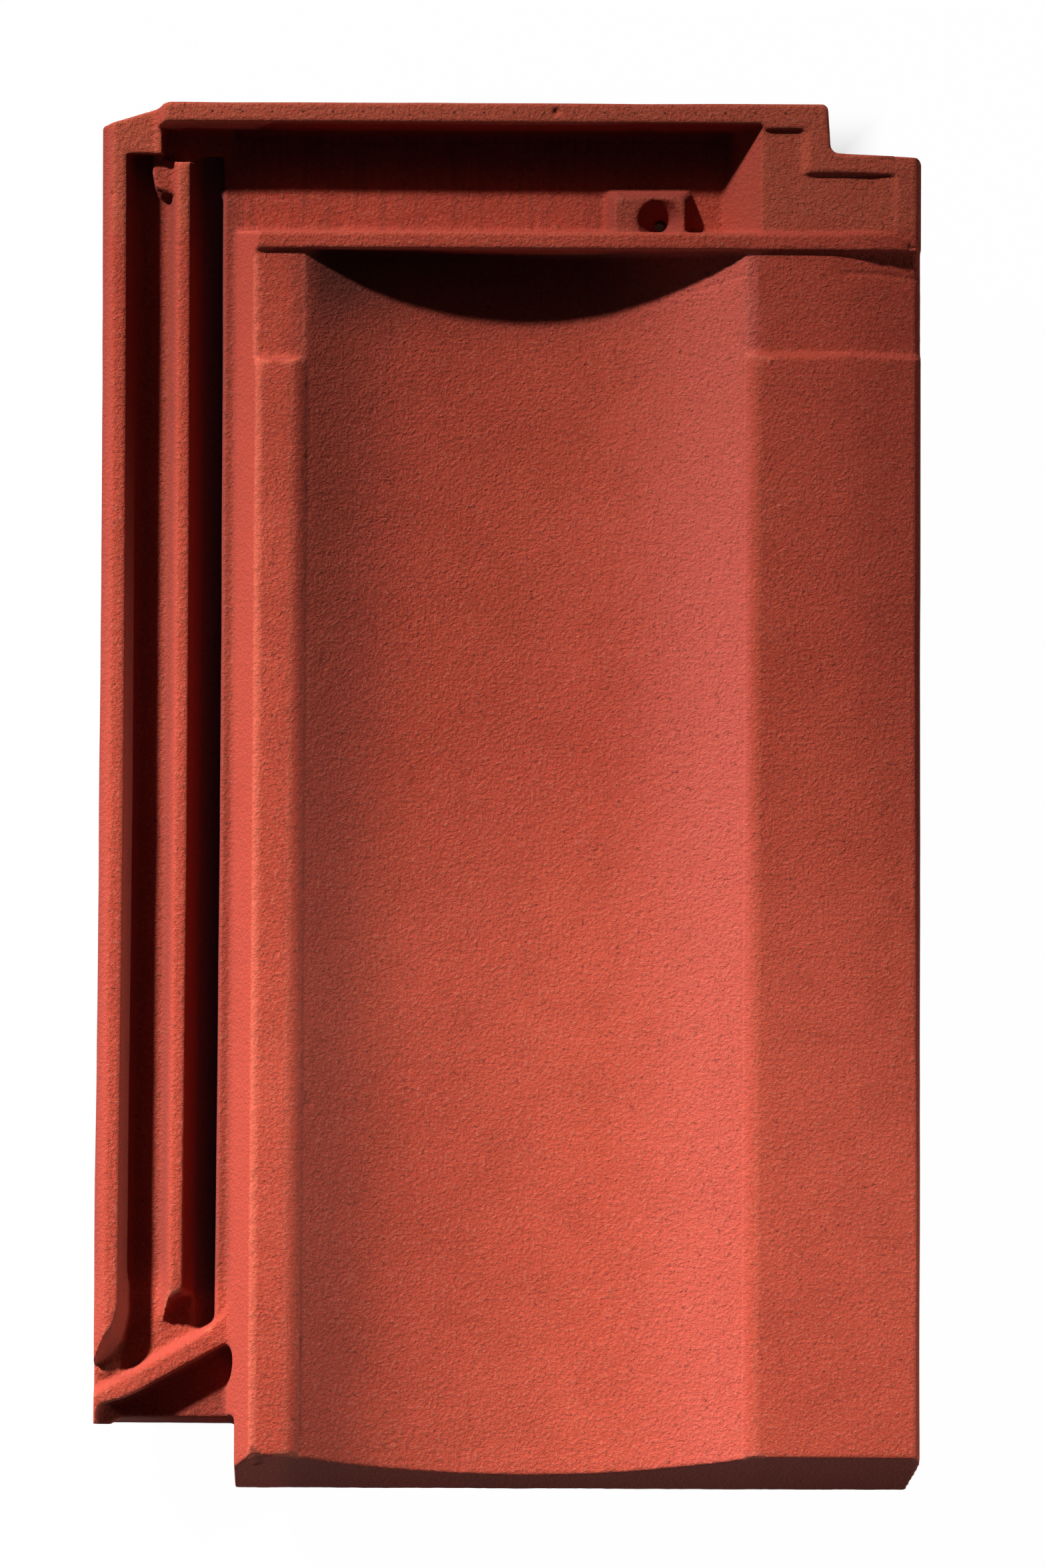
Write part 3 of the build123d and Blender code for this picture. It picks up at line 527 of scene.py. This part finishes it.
# The studio's air and lamps.
# A dim bluish room, one low key lamp from the upper left with a second one that pools on the foot,
# a small lamp that fills the side lock, and two weak lamps level with the tile for its sides.
AIR_STRENGTH = 0.04
world = bpy.data.worlds.new("studio_air")
bpy.context.scene.world = world
world.use_nodes = True
tree = world.node_tree
air = tree.nodes["Background"]
seen = node(tree, "ShaderNodeLightPath").outputs["Is Camera Ray"]
tint = node(tree, "ShaderNodeMix", {0: seen, 6: linear("#E7F3FF"), 7: linear("#FFFFFF")}, data_type="RGBA")
power = node(tree, "ShaderNodeMapRange", {"Value": seen, "To Min": AIR_STRENGTH, "To Max": 1.0})
tree.links.new(tint.outputs[2], air.inputs["Color"])
tree.links.new(power.outputs[0], air.inputs["Strength"])

KEY_TURN = math.radians(42.0)
KEY_HEIGHT = math.radians(24.6)
KEY_AWAY = 6.0
key_at = KEY_AWAY * Vector((
    -math.sin(KEY_TURN) * math.cos(KEY_HEIGHT),
    math.cos(KEY_TURN) * math.cos(KEY_HEIGHT),
    math.sin(KEY_HEIGHT),
))
POOL_AIM = (0.0, -0.24, 0.0)
POOL_RADIUS = 0.33
LOCK_AIM = (-0.12, -0.10, 0.03)
LOCK_FILL_AT = (1.75, -0.85, 0.72)
LOCK_FILL_AWAY = 2.1
LOCK_FILL_RADIUS = 0.20
TILE_MIDDLE = (0, 0, 0)

# Each lamp has a name, kind, strength, place, aim and settings
LAMPS = (
    ("key", "SUN", 3.65, key_at, TILE_MIDDLE, {"angle": math.radians(3.3)}),
    ("key_pool", "SPOT", 3150.0, key_at, POOL_AIM, {
        "spot_size": 2 * math.atan(POOL_RADIUS / KEY_AWAY), "spot_blend": 1.0, "shadow_soft_size": 0.173}),
    ("lock_fill", "SPOT", 90.0, LOCK_FILL_AT, LOCK_AIM, {
        "color": linear("#E1FFFF")[:3],
        "spot_size": 2 * math.atan(LOCK_FILL_RADIUS / LOCK_FILL_AWAY),
        "spot_blend": 1.0,
        "shadow_soft_size": 0.05}),
    ("low_right", "SUN", 0.6, (3.0, -0.8, 0.042), TILE_MIDDLE, {"angle": math.radians(1.5)}),
    ("low_foot", "SUN", 0.2, (-0.4, -3.0, 0.042), TILE_MIDDLE, {"angle": math.radians(1.5)}),
)
for name, kind, energy, at, aim, settings in LAMPS:
    lamp = bpy.data.lights.new(name, kind)
    lamp.energy = energy
    for key, value in settings.items():
        setattr(lamp, key, value)
    stand = bpy.data.objects.new(name, lamp)
    stand.location = at
    stand.rotation_euler = (Vector(aim) - Vector(at)).to_track_quat("-Z", "Y").to_euler()
    bpy.context.scene.collection.objects.link(stand)

# The camera.
# The picture is taken from 3 m above the tile, leaning 3.9 degrees towards the foot, with the
# whole tile in a tall frame. The picture is 2352 pixels tall, with 4.398 of them to a millimetre.
PIXELS_TALL = 2352
PIXELS_TO_MM = 4.398
CAMERA_AWAY = 3.0
CAMERA_LEAN = math.radians(3.9)
CAMERA_ROLL = math.radians(0.26)
CAMERA_AIM = Vector((0.0057, 0.0041, 0.025))
FRAME_LONG = PIXELS_TALL / PIXELS_TO_MM * MM
lens = bpy.data.cameras.new("camera")
lens.sensor_width = 36.0
lens.lens = lens.sensor_width * CAMERA_AWAY / FRAME_LONG
camera = bpy.data.objects.new("camera", lens)
bpy.context.scene.collection.objects.link(camera)
camera.location = CAMERA_AIM + CAMERA_AWAY * Vector((0.0, -math.sin(CAMERA_LEAN), math.cos(CAMERA_LEAN)))
camera.rotation_euler = (CAMERA_LEAN, 0.0, CAMERA_ROLL)
bpy.context.scene.camera = camera
bpy.context.scene.view_settings.view_transform = "Standard"

low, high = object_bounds()
